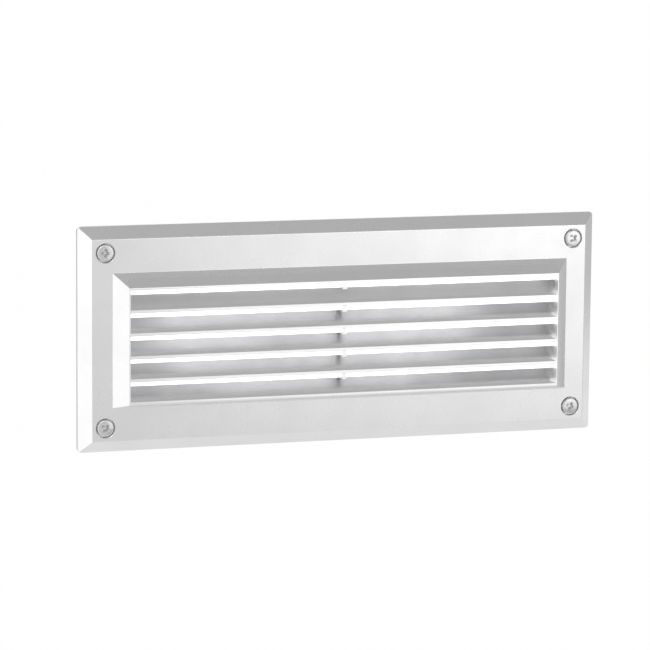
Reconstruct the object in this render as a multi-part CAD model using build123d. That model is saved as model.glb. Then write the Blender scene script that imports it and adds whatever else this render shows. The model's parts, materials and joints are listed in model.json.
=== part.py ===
from build123d import *
from math import pi, radians, tan
import os

# A recessed, brick-size step light, in millimetres. X runs along the cover and Z is up. Y = 0 is the
# wall plane, on the cover's rear rim: the cover stands out of the wall towards -Y, and the box goes
# into it towards +Y. The origin is the middle of the cover.

# Cover casting
COVER_LENGTH = 254.0
COVER_HEIGHT = 105.0
COVER_CORNER = 2.0
RIM_THICKNESS = 2.2
RIM_WALL = 2.8
BEVEL_WIDTH = 5.6
BEVEL_DEPTH = 5.6
FACE_WALL = 3.6
CAST_EDGE = 0.5

# Hood: the raised frame round the louvres
HOOD_END_MARGIN = 9.55
HOOD_SIDE_MARGIN = 15.6
HOOD_DEPTH = 6.8
HOOD_BEVEL = 6.35
HOOD_DRAFT = 1.9
HOOD_LAND = 0.5
HOOD_TOP_LAND = 1.15

# Louvres: the lowest blade is the sill
SLOT_COUNT = 5
BLADE_LIP = 1.5
BLADE_REACH = 6.5
BLADE_RISE = 6.5
BLADE_THICKNESS = 2.4
BLADE_EDGE = 0.25
RIB_WIDTH = 2.1
RIB_SETBACK = 5.6

# Cover screws and their washers
SCREW_INSET = 11.9
SCREW_RADIUS = 2.0
SCREW_LENGTH = 16.0
SCREW_HEAD_RADIUS = 4.0
SCREW_HEAD_HEIGHT = 2.4
SCREW_HEAD_ROUND = 0.9
SCREW_HOLE_RADIUS = 2.25
SCREW_TURNS = (4.0, 45.0, 38.0, 24.0)
COUNTERBORE_RADIUS = 4.5
COUNTERBORE_DEPTH = 2.6
COUNTERBORE_CHAMFER = 0.3
WASHER_THICKNESS = 0.6
WASHER_RIM = 0.5
SPIGOT_RADIUS = 4.0
SPIGOT_GAP = 0.2

# Cross recess of the cover screws
RECESS_SPAN = 4.2
RECESS_WIDTH = 0.95
RECESS_DEPTH = 1.5
RECESS_CORE = 1.0

# Small screws inside
M4_RADIUS = 2.0
M3_RADIUS = 1.5
M3_HEAD_RADIUS = 2.75
M3_HEAD_HEIGHT = 2.0
SMALL_SLOT_WIDTH = 0.8
SMALL_SLOT_DEPTH = 0.9
THREAD_CLEARANCE = 0.05
LOOSE_CLEARANCE = 0.2
BLIND_SPARE = 1.5

# Gaskets and lens
COVER_GASKET = 2.0
GASKET_CLEARANCE = 0.6
LENS_LAP = 6.0
LENS_THICKNESS = 4.0
LENS_CORNER = 6.0
LENS_EDGE = 0.4
LENS_GASKET = 1.5
LENS_GASKET_SETBACK = 1.0
LENS_CLEARANCE = 0.5
LENS_RAIL = 1.5
RAIL_BELOW_LENS = 1.0

# Lens clips
CLIP_X = 62.0
CLIP_WIDTH = 9.0
CLIP_THICKNESS = 0.8
CLIP_GRIP = 3.0
CLIP_LIP = 1.4
CLIP_POST_RADIUS = 2.8
CLIP_POST_GAP = 0.4
CLIP_SCREW_LENGTH = 6.0

# Back box: a wide front part that takes the cover screws, then a smaller deep part
BOX_DEPTH = 76.0
BOX_FRONT_DEPTH = 22.0
BOX_END_STEP = 13.5
BOX_SIDE_STEP = 3.6
BOX_WALL = 3.0
BOX_CORNER = 5.0
BOSS_RADIUS = 5.5
INNER_CORNER = 2.0
FIXING_END_INSET = 35.6
FIXING_SIDE_INSET = 9.0
FIXING_RADIUS = 2.6
PAD_END_MARGIN = 3.0
PAD_SIDE_MARGIN = 1.0
PAD_THICKNESS = 4.0

# Conduit entries, one in each end wall
CONDUIT_RADIUS = 9.6
CONDUIT_BOSS_RADIUS = 15.0
CONDUIT_BOSS_LENGTH = 9.0
CONDUIT_SETBACK = 23.8
PLUG_LENGTH = 10.0
PLUG_SOCKET = 9.5
PLUG_SOCKET_DEPTH = 5.0

# Reflector tray
TRAY_SHEET = 1.2
TRAY_LENS_GAP = 4.7
TRAY_DEPTH = 19.5
TRAY_END_GAP = 5.5
TRAY_BOSS_GAP = 2.0
TRAY_FLARE_X = 9.0
TRAY_FLARE_Z = 6.0
TRAY_SCREW_INSET = 7.0
TRAY_SCREW_LENGTH = 10.0
PILLAR_RADIUS = 4.5

# Light board
BOARD_END_ROOM = 17.1
BOARD_SIDE_ROOM = 11.1
BOARD_THICKNESS = 1.6
BOARD_SCREW_INSET = 5.0
BOARD_SCREW_LENGTH = 5.0
THERMAL_PAD = 0.5
THERMAL_PAD_SETBACK = 2.0
CHIP_COLUMNS = 9
CHIP_ROWS = 2
CHIP_SIZE = 5.0
CHIP_HEIGHT = 1.0
CHIP_END_INSET = 19.0
CHIP_SIDE_INSET = 9.0
CONNECTOR_LENGTH = 8.0
CONNECTOR_WIDTH = 8.0
CONNECTOR_HEIGHT = 5.0
CONNECTOR_INSET = 5.0

# Driver
DRIVER_LENGTH = 105.0
DRIVER_WIDTH = 34.0
DRIVER_HEIGHT = 22.0
DRIVER_X = -22.5
DRIVER_EDGE = 1.5
EAR_LENGTH = 8.0
EAR_WIDTH = 12.0
EAR_THICKNESS = 2.5
DRIVER_SCREW_LENGTH = 8.0

# Terminal block
TERMINAL_GAP = 26.0
TERMINAL_LENGTH = 22.0
TERMINAL_WIDTH = 32.0
TERMINAL_HEIGHT = 16.0
TERMINAL_EDGE = 0.6
POLE_COUNT = 3
POLE_PITCH = 10.0
POLE_SCREW_X = 6.0
POLE_SCREW_RADIUS = 1.9
POLE_SCREW_LENGTH = 4.5
POLE_SCREW_SINK = 1.5
TERMINAL_SCREW_SPARE = 4.5

# Earth point
EARTH_TERMINAL_GAP = 16.0
EARTH_SIDE_INSET = 9.0
EARTH_BOSS_RADIUS = 4.5
EARTH_SCREW_LENGTH = 8.0
LUG_RADIUS = 4.0
LUG_THICKNESS = 1.0
LUG_BARREL_RADIUS = 1.7
LUG_BARREL_LENGTH = 6.0

# Leads
MAINS_LEAD_RADIUS = 0.9
LED_LEAD_RADIUS = 0.7
LEAD_CLEARANCE = 0.1
LEAD_HUMP = 3.8
LED_LEAD_HALF_GAP = 1.5
DRIVER_ENTRY = 5.0
CONNECTOR_ENTRY = 3.0
TERMINAL_ENTRY = 8.0
GROMMET_RADIUS = 5.0
GROMMET_NECK = 4.0
GROMMET_BORE = 3.2
GROMMET_FLANGE = 1.5
GROMMET_GAP = 1.0

# Depths, from the front to the back
face_y = -RIM_THICKNESS - BEVEL_DEPTH
hood_y = face_y - HOOD_DEPTH
inner_face_y = face_y + FACE_WALL
seat_y = face_y + COUNTERBORE_DEPTH
head_y = seat_y - WASHER_THICKNESS
box_front_y = inner_face_y + COVER_GASKET
box_step_y = box_front_y + BOX_FRONT_DEPTH
shelf_y = box_step_y - BOX_WALL
box_back_y = box_front_y + BOX_DEPTH
box_floor_y = box_back_y - BOX_WALL
pad_y = box_floor_y - PAD_THICKNESS
lens_front_y = inner_face_y + LENS_GASKET
lens_back_y = lens_front_y + LENS_THICKNESS
conduit_y = box_back_y - CONDUIT_SETBACK
tray_mouth_y = lens_back_y + TRAY_LENS_GAP
tray_back_y = tray_mouth_y + TRAY_DEPTH
tray_front_y = tray_back_y - TRAY_SHEET
board_back_y = tray_front_y - THERMAL_PAD
board_front_y = board_back_y - BOARD_THICKNESS
terminal_y = pad_y - TERMINAL_HEIGHT
lead_y = terminal_y + TERMINAL_HEIGHT / 2
driver_y = pad_y - DRIVER_HEIGHT
earth_y = lead_y + LUG_BARREL_RADIUS

# Face, hood and louvre opening
face_length = COVER_LENGTH - 2 * BEVEL_WIDTH
face_height = COVER_HEIGHT - 2 * BEVEL_WIDTH
hood_length = face_length - 2 * HOOD_END_MARGIN
hood_height = face_height - 2 * HOOD_SIDE_MARGIN
hood_front_length = hood_length - 2 * HOOD_BEVEL
hood_front_top = hood_height / 2 - HOOD_BEVEL
hood_front_bottom = HOOD_DRAFT - hood_height / 2
opening_length = hood_front_length - 2 * HOOD_LAND
opening_top = hood_front_top - HOOD_TOP_LAND
opening_bottom = hood_front_bottom + BLADE_LIP
opening_height = opening_top - opening_bottom
opening_z = (opening_top + opening_bottom) / 2
slot_pitch = (opening_height + BLADE_LIP) / SLOT_COUNT

# Screw places, box outline and lens outline
screw_x = COVER_LENGTH / 2 - SCREW_INSET
screw_z = COVER_HEIGHT / 2 - SCREW_INSET
box_length = 2 * (screw_x + BOX_CORNER)
box_height = 2 * (screw_z + BOX_CORNER)
inner_length = box_length - 2 * BOX_WALL
inner_height = box_height - 2 * BOX_WALL
deep_length = box_length - 2 * BOX_END_STEP
deep_height = box_height - 2 * BOX_SIDE_STEP
deep_inner_length = deep_length - 2 * BOX_WALL
deep_inner_height = deep_height - 2 * BOX_WALL
lens_length = opening_length + 2 * LENS_LAP
lens_height = opening_height + 2 * LENS_LAP
rail_gap = LENS_CLEARANCE + LENS_RAIL
clip_post_z = lens_height / 2 + rail_gap + CLIP_POST_GAP + CLIP_POST_RADIUS

# Tray and board
tray_base_length = deep_inner_length - 2 * TRAY_END_GAP
tray_mouth_length = tray_base_length + 2 * TRAY_FLARE_X
tray_mouth_height = 2 * (screw_z - BOSS_RADIUS - TRAY_BOSS_GAP)
tray_base_height = tray_mouth_height - 2 * TRAY_FLARE_Z
tray_screw_x = tray_base_length / 2 - TRAY_SCREW_INSET
tray_screw_z = tray_base_height / 2 - TRAY_SCREW_INSET
board_length = tray_base_length - 2 * BOARD_END_ROOM
board_height = tray_base_height - 2 * BOARD_SIDE_ROOM
board_screw_x = board_length / 2 - BOARD_SCREW_INSET
board_screw_z = board_height / 2 - BOARD_SCREW_INSET
chip_pitch_x = (board_length - 2 * CHIP_END_INSET) / (CHIP_COLUMNS - 1)
chip_pitch_z = (board_height - 2 * CHIP_SIDE_INSET) / (CHIP_ROWS - 1)
connector_x = CONNECTOR_INSET - board_length / 2
grommet_x = -board_length / 2 - GROMMET_GAP - GROMMET_RADIUS

# Driver, terminal block, earth point and wall fixings
driver_left = DRIVER_X - DRIVER_LENGTH / 2
driver_right = DRIVER_X + DRIVER_LENGTH / 2
driver_ear_x = DRIVER_LENGTH / 2 + EAR_LENGTH / 2
terminal_left = driver_right + TERMINAL_GAP
terminal_right = terminal_left + TERMINAL_LENGTH
terminal_x = (terminal_left + terminal_right) / 2
pad_left = driver_left - EAR_LENGTH - PAD_END_MARGIN
pad_right = terminal_right + PAD_END_MARGIN
pad_height = max(DRIVER_WIDTH, TERMINAL_WIDTH) + 2 * PAD_SIDE_MARGIN
earth_x = terminal_left - EARTH_TERMINAL_GAP
earth_z = EARTH_SIDE_INSET - deep_inner_height / 2
fixing_x = deep_inner_length / 2 - FIXING_END_INSET
fixing_z = deep_inner_height / 2 - FIXING_SIDE_INSET
m4_hole = M4_RADIUS + THREAD_CLEARANCE
m3_hole = M3_RADIUS + THREAD_CLEARANCE


def slab(length, height, front, back, x=0.0, z=0.0):
    """A block between two depths, centred on x and z."""
    return Pos(x, (front + back) / 2, z) * Box(length, back - front, height)


def extruded(outline, front, back, x=0.0, z=0.0):
    """An outline drawn on X and Z, filled between two depths."""
    return extrude(Plane.XZ.offset(-back) * Pos(x, z) * outline, amount=back - front)


def rounded_slab(length, height, radius, front, back, z=0.0):
    """A slab whose corners, seen from the front, are round."""
    return extruded(RectangleRounded(length, height, radius), front, back, 0.0, z)


def rod(radius, front, back, x=0.0, z=0.0):
    """A round bar along Y between two depths."""
    return extruded(Circle(radius), front, back, x, z)


def cross_rod(radius, left, right, y, z=0.0):
    """A round bar along X."""
    return extrude(Plane.YZ.offset(left) * Pos(y, z) * Circle(radius), amount=right - left)


def frustum(back_size, back_y, front_size, front_y, back_z=0.0, front_z=0.0):
    """A block that tapers between two upright rectangles."""
    back = Plane.XZ.offset(-back_y) * Pos(0, back_z) * Rectangle(*back_size)
    front = Plane.XZ.offset(-front_y) * Pos(0, front_z) * Rectangle(*front_size)
    return loft([back, front], ruled=True)


def four_places(x, z):
    """The corners of a rectangle: top left, top right, bottom left, bottom right."""
    return [(-x, z), (x, z), (-x, -z), (x, -z)]


def lens_z(height):
    """A height counted from the middle of the lens, in the part's frame."""
    return opening_z + height


def clip_places():
    """The lens clips' screws, with the way from each screw to the lens."""
    return [(x, lens_z(side * clip_post_z), -side) for x in (-CLIP_X, CLIP_X) for side in (-1, 1)]


def pole_heights():
    """The heights of the terminal block's poles, from the lowest."""
    return [POLE_PITCH * (pole - (POLE_COUNT - 1) / 2) for pole in range(POLE_COUNT)]


def terminal_fixings():
    """The heights of the terminal block's fixing screws, between its poles."""
    heights = pole_heights()
    return [(low + high) / 2 for low, high in zip(heights, heights[1:])]


# Cover

def cover_outside():
    """Rim, bevel, face and hood as one solid with its cast edges rounded."""
    outline = rounded_slab(COVER_LENGTH, COVER_HEIGHT, COVER_CORNER, face_y, 0.0)
    rim = slab(COVER_LENGTH, COVER_HEIGHT, -RIM_THICKNESS, 0.0)
    bevel = frustum((COVER_LENGTH, COVER_HEIGHT), -RIM_THICKNESS, (face_length, face_height), face_y)
    plate = (rim + bevel) & outline
    hood_front = (hood_front_length, hood_front_top - hood_front_bottom)
    hood_middle = (hood_front_top + hood_front_bottom) / 2
    hood = frustum((hood_length, hood_height), face_y, hood_front, hood_y, 0.0, hood_middle)
    body = plate + hood
    tolerance = 0.01
    at_face = body.edges().filter_by_position(Axis.Y, face_y - tolerance, face_y + tolerance)
    at_hood = body.edges().filter_by_position(Axis.Y, hood_y - tolerance, hood_y + tolerance)
    body = fillet(at_face + at_hood, CAST_EDGE)
    return body


def blade(front_z):
    """One louvre blade, sloping up and back from its front lip."""
    front_y = hood_y
    back_y = hood_y + BLADE_REACH
    slope = BLADE_RISE / BLADE_REACH
    underside_y = front_y + (BLADE_THICKNESS - BLADE_LIP) / slope
    corners = [
        (front_y, front_z),
        (back_y, front_z + BLADE_RISE),
        (back_y, front_z + BLADE_RISE - BLADE_THICKNESS),
        (underside_y, front_z - BLADE_LIP),
        (front_y, front_z - BLADE_LIP),
    ]
    section = make_face(Polyline(*corners, close=True))
    front_corners = section.vertices().sort_by(Axis.X)[:2]
    section = fillet(front_corners, BLADE_EDGE)
    overlap = HOOD_LAND
    half_length = opening_length / 2 + overlap
    return extrude(Plane.YZ.offset(-half_length) * section, amount=2 * half_length)


def louvre_space():
    """The air between and behind the blades, which the cover casting leaves open."""
    reach = 1.0
    space = slab(opening_length, opening_height, hood_y - reach, inner_face_y + reach, 0.0, opening_z)
    for index in range(SLOT_COUNT):
        space -= blade(opening_bottom + index * slot_pitch)
    rib_front = hood_y + RIB_SETBACK
    space -= slab(RIB_WIDTH, opening_height + 2 * reach, rib_front, inner_face_y, 0.0, opening_z)
    return space


def screw_passage(x, z):
    """Clearance hole, counterbore and its small chamfer for one cover screw."""
    hole = rod(SCREW_HOLE_RADIUS, face_y, box_front_y, x, z)
    counterbore = rod(COUNTERBORE_RADIUS, face_y - 1.0, seat_y, x, z)
    mouth = Plane.XZ.offset(-face_y) * Pos(x, z) * Circle(COUNTERBORE_RADIUS + COUNTERBORE_CHAMFER)
    bottom_y = face_y + COUNTERBORE_CHAMFER
    bottom = Plane.XZ.offset(-bottom_y) * Pos(x, z) * Circle(COUNTERBORE_RADIUS)
    return hole + counterbore + loft([bottom, mouth])


def louvre_cover():
    """The one-piece cover casting."""
    cover = cover_outside()
    deep = (box_length + 2 * GASKET_CLEARANCE, box_height + 2 * GASKET_CLEARANCE)
    wide = (COVER_LENGTH - 2 * RIM_WALL, COVER_HEIGHT - 2 * RIM_WALL)
    cover -= frustum(wide, 0.0, deep, inner_face_y)
    cover -= louvre_space()
    rail_back = lens_back_y - RAIL_BELOW_LENS
    gap = 2 * LENS_CLEARANCE
    thick = 2 * rail_gap
    rail = rounded_slab(
        lens_length + thick, lens_height + thick, LENS_CORNER + rail_gap, inner_face_y, rail_back, opening_z
    )
    rail -= rounded_slab(
        lens_length + gap, lens_height + gap, LENS_CORNER + LENS_CLEARANCE, inner_face_y, rail_back, opening_z
    )
    cover += rail
    for x, z, _ in clip_places():
        cover += rod(CLIP_POST_RADIUS, inner_face_y, lens_back_y, x, z)
    for x, z in four_places(screw_x, screw_z):
        cover += rod(SPIGOT_RADIUS, inner_face_y, box_front_y - SPIGOT_GAP, x, z)
        cover -= screw_passage(x, z)
    depth = CLIP_SCREW_LENGTH - CLIP_THICKNESS + LOOSE_CLEARANCE
    for x, z, _ in clip_places():
        cover -= rod(m3_hole, lens_back_y - depth, lens_back_y, x, z)
    return cover


# Fasteners

def small_screw(radius, head_radius, head_height, length, seat, x, z):
    """A slotted pan-head screw along Y, its head in front of the seat."""
    head = rod(head_radius, seat - head_height, seat, x, z)
    head = fillet(head.edges().group_by(Axis.Y)[0], head_height / 3)
    top = seat - head_height
    slot = slab(2 * head_radius, SMALL_SLOT_WIDTH, top, top + SMALL_SLOT_DEPTH, x, z)
    return head + rod(radius, seat, seat + length, x, z) - slot


def rear_screw(radius, head_radius, head_height, length, seat, x, z):
    """A slotted pan-head screw along Y, its head behind the seat."""
    screw = small_screw(radius, head_radius, head_height, length, 0.0, 0.0, 0.0)
    return Pos(x, seat, z) * Rot(0, 0, 180) * screw


def cross_recess():
    """The cross-shaped driver recess, cut into a head whose top is at Y = 0."""
    recess = rod(RECESS_CORE, 0.0, RECESS_DEPTH)
    for angle in (0.0, 90.0):
        wide = Plane.XZ * Rectangle(RECESS_SPAN, RECESS_WIDTH)
        narrow = Plane.XZ.offset(-RECESS_DEPTH) * Rectangle(RECESS_SPAN / 2, RECESS_WIDTH / 2)
        recess += Rot(0, angle, 0) * loft([narrow, wide])
    return recess


def cover_screw(x, z, turn):
    """A cover screw with a rounded pan head and a cross recess."""
    top = head_y - SCREW_HEAD_HEIGHT
    head = rod(SCREW_HEAD_RADIUS, top, head_y, x, z)
    head = fillet(head.edges().group_by(Axis.Y)[0], SCREW_HEAD_ROUND)
    shank = rod(SCREW_RADIUS, head_y, head_y + SCREW_LENGTH, x, z)
    shank = chamfer(shank.edges().group_by(Axis.Y)[-1], SCREW_RADIUS / 4)
    return head + shank - Pos(x, top, z) * Rot(0, turn, 0) * cross_recess()


def screw_washer(x, z):
    """The sealing washer under one cover screw's head."""
    outer = COUNTERBORE_RADIUS - WASHER_RIM
    ring = rod(outer, head_y, seat_y, x, z)
    return ring - rod(SCREW_RADIUS + THREAD_CLEARANCE, head_y, seat_y, x, z)


# Lens and gaskets

def lens():
    """The frosted glass, its edges ground."""
    glass = rounded_slab(lens_length, lens_height, LENS_CORNER, lens_front_y, lens_back_y, opening_z)
    faces = glass.faces().filter_by(Axis.Y)
    return chamfer(faces.edges(), LENS_EDGE)


def lens_gasket():
    """The frame between the lens and the cover's inner face."""
    frame = rounded_slab(lens_length, lens_height, LENS_CORNER, inner_face_y, lens_front_y, opening_z)
    open_length = opening_length + 2 * LENS_GASKET_SETBACK
    open_height = opening_height + 2 * LENS_GASKET_SETBACK
    return frame - slab(open_length, open_height, inner_face_y, lens_front_y, 0.0, opening_z)


def lens_clip(x, z, side):
    """One plate clip on its post, reaching over the lens's edge."""
    back = lens_back_y + CLIP_THICKNESS
    outer_z = z - side * CLIP_POST_RADIUS
    grip_z = z + side * (CLIP_POST_RADIUS + CLIP_POST_GAP + rail_gap + CLIP_GRIP)
    plate = slab(CLIP_WIDTH, abs(grip_z - outer_z), lens_back_y, back, x, (outer_z + grip_z) / 2)
    lip_z = grip_z - side * CLIP_THICKNESS / 2
    lip = slab(CLIP_WIDTH, CLIP_THICKNESS, lens_back_y, back + CLIP_LIP, x, lip_z)
    return plate + lip - rod(M3_RADIUS + LOOSE_CLEARANCE, lens_back_y, back, x, z)


def box_rim(front, back):
    """The outline of the box wall with its corner bosses, between two depths."""
    space = rounded_slab(inner_length, inner_height, INNER_CORNER, front, back)
    for x, z in four_places(screw_x, screw_z):
        space -= rod(BOSS_RADIUS, front, back, x, z)
    return rounded_slab(box_length, box_height, BOX_CORNER, front, back) - space


def cover_gasket():
    """The gasket between the box rim and the cover, open round the cover's spigots."""
    gasket = box_rim(inner_face_y, box_front_y)
    for x, z in four_places(screw_x, screw_z):
        gasket -= rod(SPIGOT_RADIUS + LOOSE_CLEARANCE, inner_face_y, box_front_y, x, z)
    return gasket


# Box

def box_space():
    """The room inside the box, less everything that is cast on its walls."""
    space = rounded_slab(inner_length, inner_height, INNER_CORNER, box_front_y, shelf_y)
    for x, z in four_places(screw_x, screw_z):
        space -= rod(BOSS_RADIUS, box_front_y, shelf_y, x, z)
    space += rounded_slab(deep_inner_length, deep_inner_height, INNER_CORNER, shelf_y, box_floor_y)
    for x, z in four_places(tray_screw_x, tray_screw_z):
        space -= rod(PILLAR_RADIUS, tray_back_y, box_floor_y, x, z)
    boss_end = deep_inner_length / 2 - CONDUIT_BOSS_LENGTH
    space -= cross_rod(CONDUIT_BOSS_RADIUS, boss_end, deep_length / 2, conduit_y)
    space -= cross_rod(CONDUIT_BOSS_RADIUS, -deep_length / 2, -boss_end, conduit_y)
    space -= slab(pad_right - pad_left, pad_height, pad_y, box_floor_y, (pad_left + pad_right) / 2)
    space -= rod(EARTH_BOSS_RADIUS, earth_y, box_floor_y, earth_x, earth_z)
    return space


def pad_holes():
    """The tapped holes in the cast pad, for the driver and the terminal block."""
    driver_depth = DRIVER_SCREW_LENGTH - EAR_THICKNESS
    places = [(DRIVER_X - driver_ear_x, 0.0), (DRIVER_X + driver_ear_x, 0.0)]
    holes = [rod(m3_hole, pad_y, pad_y + driver_depth + LOOSE_CLEARANCE, x, z) for x, z in places]
    for z in terminal_fixings():
        holes.append(rod(m3_hole, pad_y, pad_y + TERMINAL_SCREW_SPARE + LOOSE_CLEARANCE, terminal_x, z))
    return holes


def back_box():
    """The cast box that is built into the wall."""
    box = rounded_slab(box_length, box_height, BOX_CORNER, box_front_y, box_step_y)
    box += rounded_slab(deep_length, deep_height, BOX_CORNER, box_step_y, box_back_y)
    box -= box_space()
    screw_end = head_y + SCREW_LENGTH + BLIND_SPARE
    for x, z in four_places(screw_x, screw_z):
        box -= rod(SCREW_RADIUS + THREAD_CLEARANCE, box_front_y, screw_end, x, z)
    tray_screw_end = tray_front_y + TRAY_SCREW_LENGTH + BLIND_SPARE
    for x, z in four_places(tray_screw_x, tray_screw_z):
        box -= rod(m4_hole, tray_back_y, tray_screw_end, x, z)
    for x, z in four_places(fixing_x, fixing_z):
        box -= rod(FIXING_RADIUS, box_floor_y, box_back_y, x, z)
    box -= cross_rod(CONDUIT_RADIUS, -deep_length / 2, deep_length / 2, conduit_y)
    earth_depth = EARTH_SCREW_LENGTH - LUG_THICKNESS + LOOSE_CLEARANCE
    box -= rod(m4_hole, earth_y, earth_y + earth_depth, earth_x, earth_z)
    for hole in pad_holes():
        box -= hole
    return box


def conduit_plug():
    """The threaded plug in the unused entry, with a hexagon socket."""
    outside = -deep_length / 2
    radius = CONDUIT_RADIUS - THREAD_CLEARANCE
    plug = cross_rod(radius, outside, outside + PLUG_LENGTH, conduit_y)
    hexagon = RegularPolygon(PLUG_SOCKET / 2, 6, major_radius=False)
    socket = extrude(Plane.YZ.offset(outside) * Pos(conduit_y, 0) * hexagon, amount=PLUG_SOCKET_DEPTH)
    return plug - socket


# Tray and light board

def reflector_tray():
    """The sheet pan with flared sides."""
    base_size = (tray_base_length, tray_base_height)
    mouth_size = (tray_mouth_length, tray_mouth_height)
    outer = frustum(base_size, tray_back_y, mouth_size, tray_mouth_y)
    thick = 2 * TRAY_SHEET
    inner = frustum(
        (tray_base_length - thick, tray_base_height - thick),
        tray_front_y,
        (tray_mouth_length - thick, tray_mouth_height - thick),
        tray_mouth_y,
    )
    tray = outer - inner
    for x, z in four_places(tray_screw_x, tray_screw_z):
        tray -= rod(M4_RADIUS + LOOSE_CLEARANCE, tray_front_y, tray_back_y, x, z)
    for x, z in four_places(board_screw_x, board_screw_z):
        tray -= rod(m3_hole, tray_front_y, tray_back_y, x, z)
    tray -= rod(GROMMET_NECK + THREAD_CLEARANCE, tray_front_y, tray_back_y, grommet_x)
    return tray


def board_holed(board, front, back):
    """A sheet of the light board's stack with its four screw holes."""
    for x, z in four_places(board_screw_x, board_screw_z):
        board -= rod(M3_RADIUS + LOOSE_CLEARANCE, front, back, x, z)
    return board


def led_board():
    """The bare light board."""
    board = slab(board_length, board_height, board_front_y, board_back_y)
    return board_holed(board, board_front_y, board_back_y)


def thermal_pad():
    """The soft pad that carries the board's heat into the tray."""
    length = board_length - 2 * THERMAL_PAD_SETBACK
    height = board_height - 2 * THERMAL_PAD_SETBACK
    return board_holed(slab(length, height, board_back_y, tray_front_y), board_back_y, tray_front_y)


def led_chips():
    """The rows of light-emitting packages, as separate solids."""
    chips = []
    for column in range(CHIP_COLUMNS):
        for row in range(CHIP_ROWS):
            x = chip_pitch_x * (column - (CHIP_COLUMNS - 1) / 2)
            z = chip_pitch_z * (row - (CHIP_ROWS - 1) / 2)
            chips.append(slab(CHIP_SIZE, CHIP_SIZE, board_front_y - CHIP_HEIGHT, board_front_y, x, z))
    return Compound(children=chips)


def board_connector():
    """The connector that takes the two low-voltage leads."""
    x = connector_x + CONNECTOR_LENGTH / 2
    body = slab(CONNECTOR_LENGTH, CONNECTOR_WIDTH, board_front_y - CONNECTOR_HEIGHT, board_front_y, x)
    y = board_front_y - CONNECTOR_HEIGHT / 2
    for z in (-LED_LEAD_HALF_GAP, LED_LEAD_HALF_GAP):
        body -= cross_rod(LED_LEAD_RADIUS + LEAD_CLEARANCE, connector_x, connector_x + CONNECTOR_ENTRY, y, z)
    return body


def lead_grommet():
    """The soft grommet in the tray's lead hole."""
    front = tray_front_y - GROMMET_FLANGE
    back = tray_back_y + GROMMET_FLANGE
    body = rod(GROMMET_RADIUS, front, tray_front_y, grommet_x)
    body += rod(GROMMET_NECK, tray_front_y, tray_back_y, grommet_x)
    body += rod(GROMMET_RADIUS, tray_back_y, back, grommet_x)
    return body - rod(GROMMET_BORE, front, back, grommet_x)


# Driver and supply

def led_driver():
    """The potted driver with a fixing ear at each end and holes for its leads."""
    body = slab(DRIVER_LENGTH, DRIVER_WIDTH, driver_y, pad_y, DRIVER_X)
    body = fillet(body.edges().filter_by(Axis.Y) + body.edges().group_by(Axis.Y)[0], DRIVER_EDGE)
    ear_span = DRIVER_LENGTH + 2 * EAR_LENGTH
    body += slab(ear_span, EAR_WIDTH, pad_y - EAR_THICKNESS, pad_y, DRIVER_X)
    for x in (DRIVER_X - driver_ear_x, DRIVER_X + driver_ear_x):
        body -= rod(M3_RADIUS + LOOSE_CLEARANCE, pad_y - EAR_THICKNESS, pad_y, x)
    mains_hole = MAINS_LEAD_RADIUS + LEAD_CLEARANCE
    for z in pole_heights()[1:]:
        body -= cross_rod(mains_hole, driver_right - DRIVER_ENTRY, driver_right, lead_y, z)
    led_hole = LED_LEAD_RADIUS + LEAD_CLEARANCE
    for z in (-LED_LEAD_HALF_GAP, LED_LEAD_HALF_GAP):
        body -= cross_rod(led_hole, driver_left, driver_left + DRIVER_ENTRY, lead_y, z)
    return body


def pole_screw_places():
    """Where the terminal block's clamping screws stand: two for each pole."""
    sides = (terminal_x - POLE_SCREW_X, terminal_x + POLE_SCREW_X)
    return [(x, z) for x in sides for z in pole_heights()]


def terminal_block():
    """The three-pole block, with lead holes along X and screw wells in front."""
    block = slab(TERMINAL_LENGTH, TERMINAL_WIDTH, terminal_y, pad_y, terminal_x)
    block = fillet(block.edges().group_by(Axis.Y)[0], TERMINAL_EDGE)
    for z in pole_heights():
        block -= cross_rod(MAINS_LEAD_RADIUS + LEAD_CLEARANCE, terminal_left, terminal_right, lead_y, z)
    for x, z in pole_screw_places():
        block -= rod(POLE_SCREW_RADIUS + THREAD_CLEARANCE, terminal_y, lead_y, x, z)
    for z in terminal_fixings():
        block -= rod(M3_RADIUS + LOOSE_CLEARANCE, terminal_y, pad_y, terminal_x, z)
    return block


def terminal_screws():
    """The headless clamping screws of the terminal block."""
    screws = []
    top = terminal_y + POLE_SCREW_SINK
    for x, z in pole_screw_places():
        screw = rod(POLE_SCREW_RADIUS, top, top + POLE_SCREW_LENGTH, x, z)
        slot = slab(2 * POLE_SCREW_RADIUS, SMALL_SLOT_WIDTH, top, top + SMALL_SLOT_DEPTH, x, z)
        screws.append(screw - slot)
    return Compound(children=screws)


def earth_lug():
    """The ring terminal with its barrel, on the earth boss."""
    front = earth_y - LUG_THICKNESS
    tongue = LUG_BARREL_RADIUS * 2
    ring = rod(LUG_RADIUS, front, earth_y, earth_x, earth_z)
    ring += slab(tongue, 2 * LUG_RADIUS, front, earth_y, earth_x, earth_z + LUG_RADIUS)
    ring -= rod(M4_RADIUS + LOOSE_CLEARANCE, front, earth_y, earth_x, earth_z)
    start = lug_end()
    axis = Plane(origin=start, z_dir=(0, 0, 1))
    ring += extrude(axis * Circle(LUG_BARREL_RADIUS), amount=LUG_BARREL_LENGTH)
    bore = extrude(axis * Circle(MAINS_LEAD_RADIUS + LEAD_CLEARANCE), amount=LUG_BARREL_LENGTH)
    return ring - bore


def lug_end():
    """The lower end of the lug's barrel, on the barrel's axis."""
    return (earth_x, earth_y - LUG_BARREL_RADIUS, earth_z + 1.5 * LUG_RADIUS)


# Leads

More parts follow.
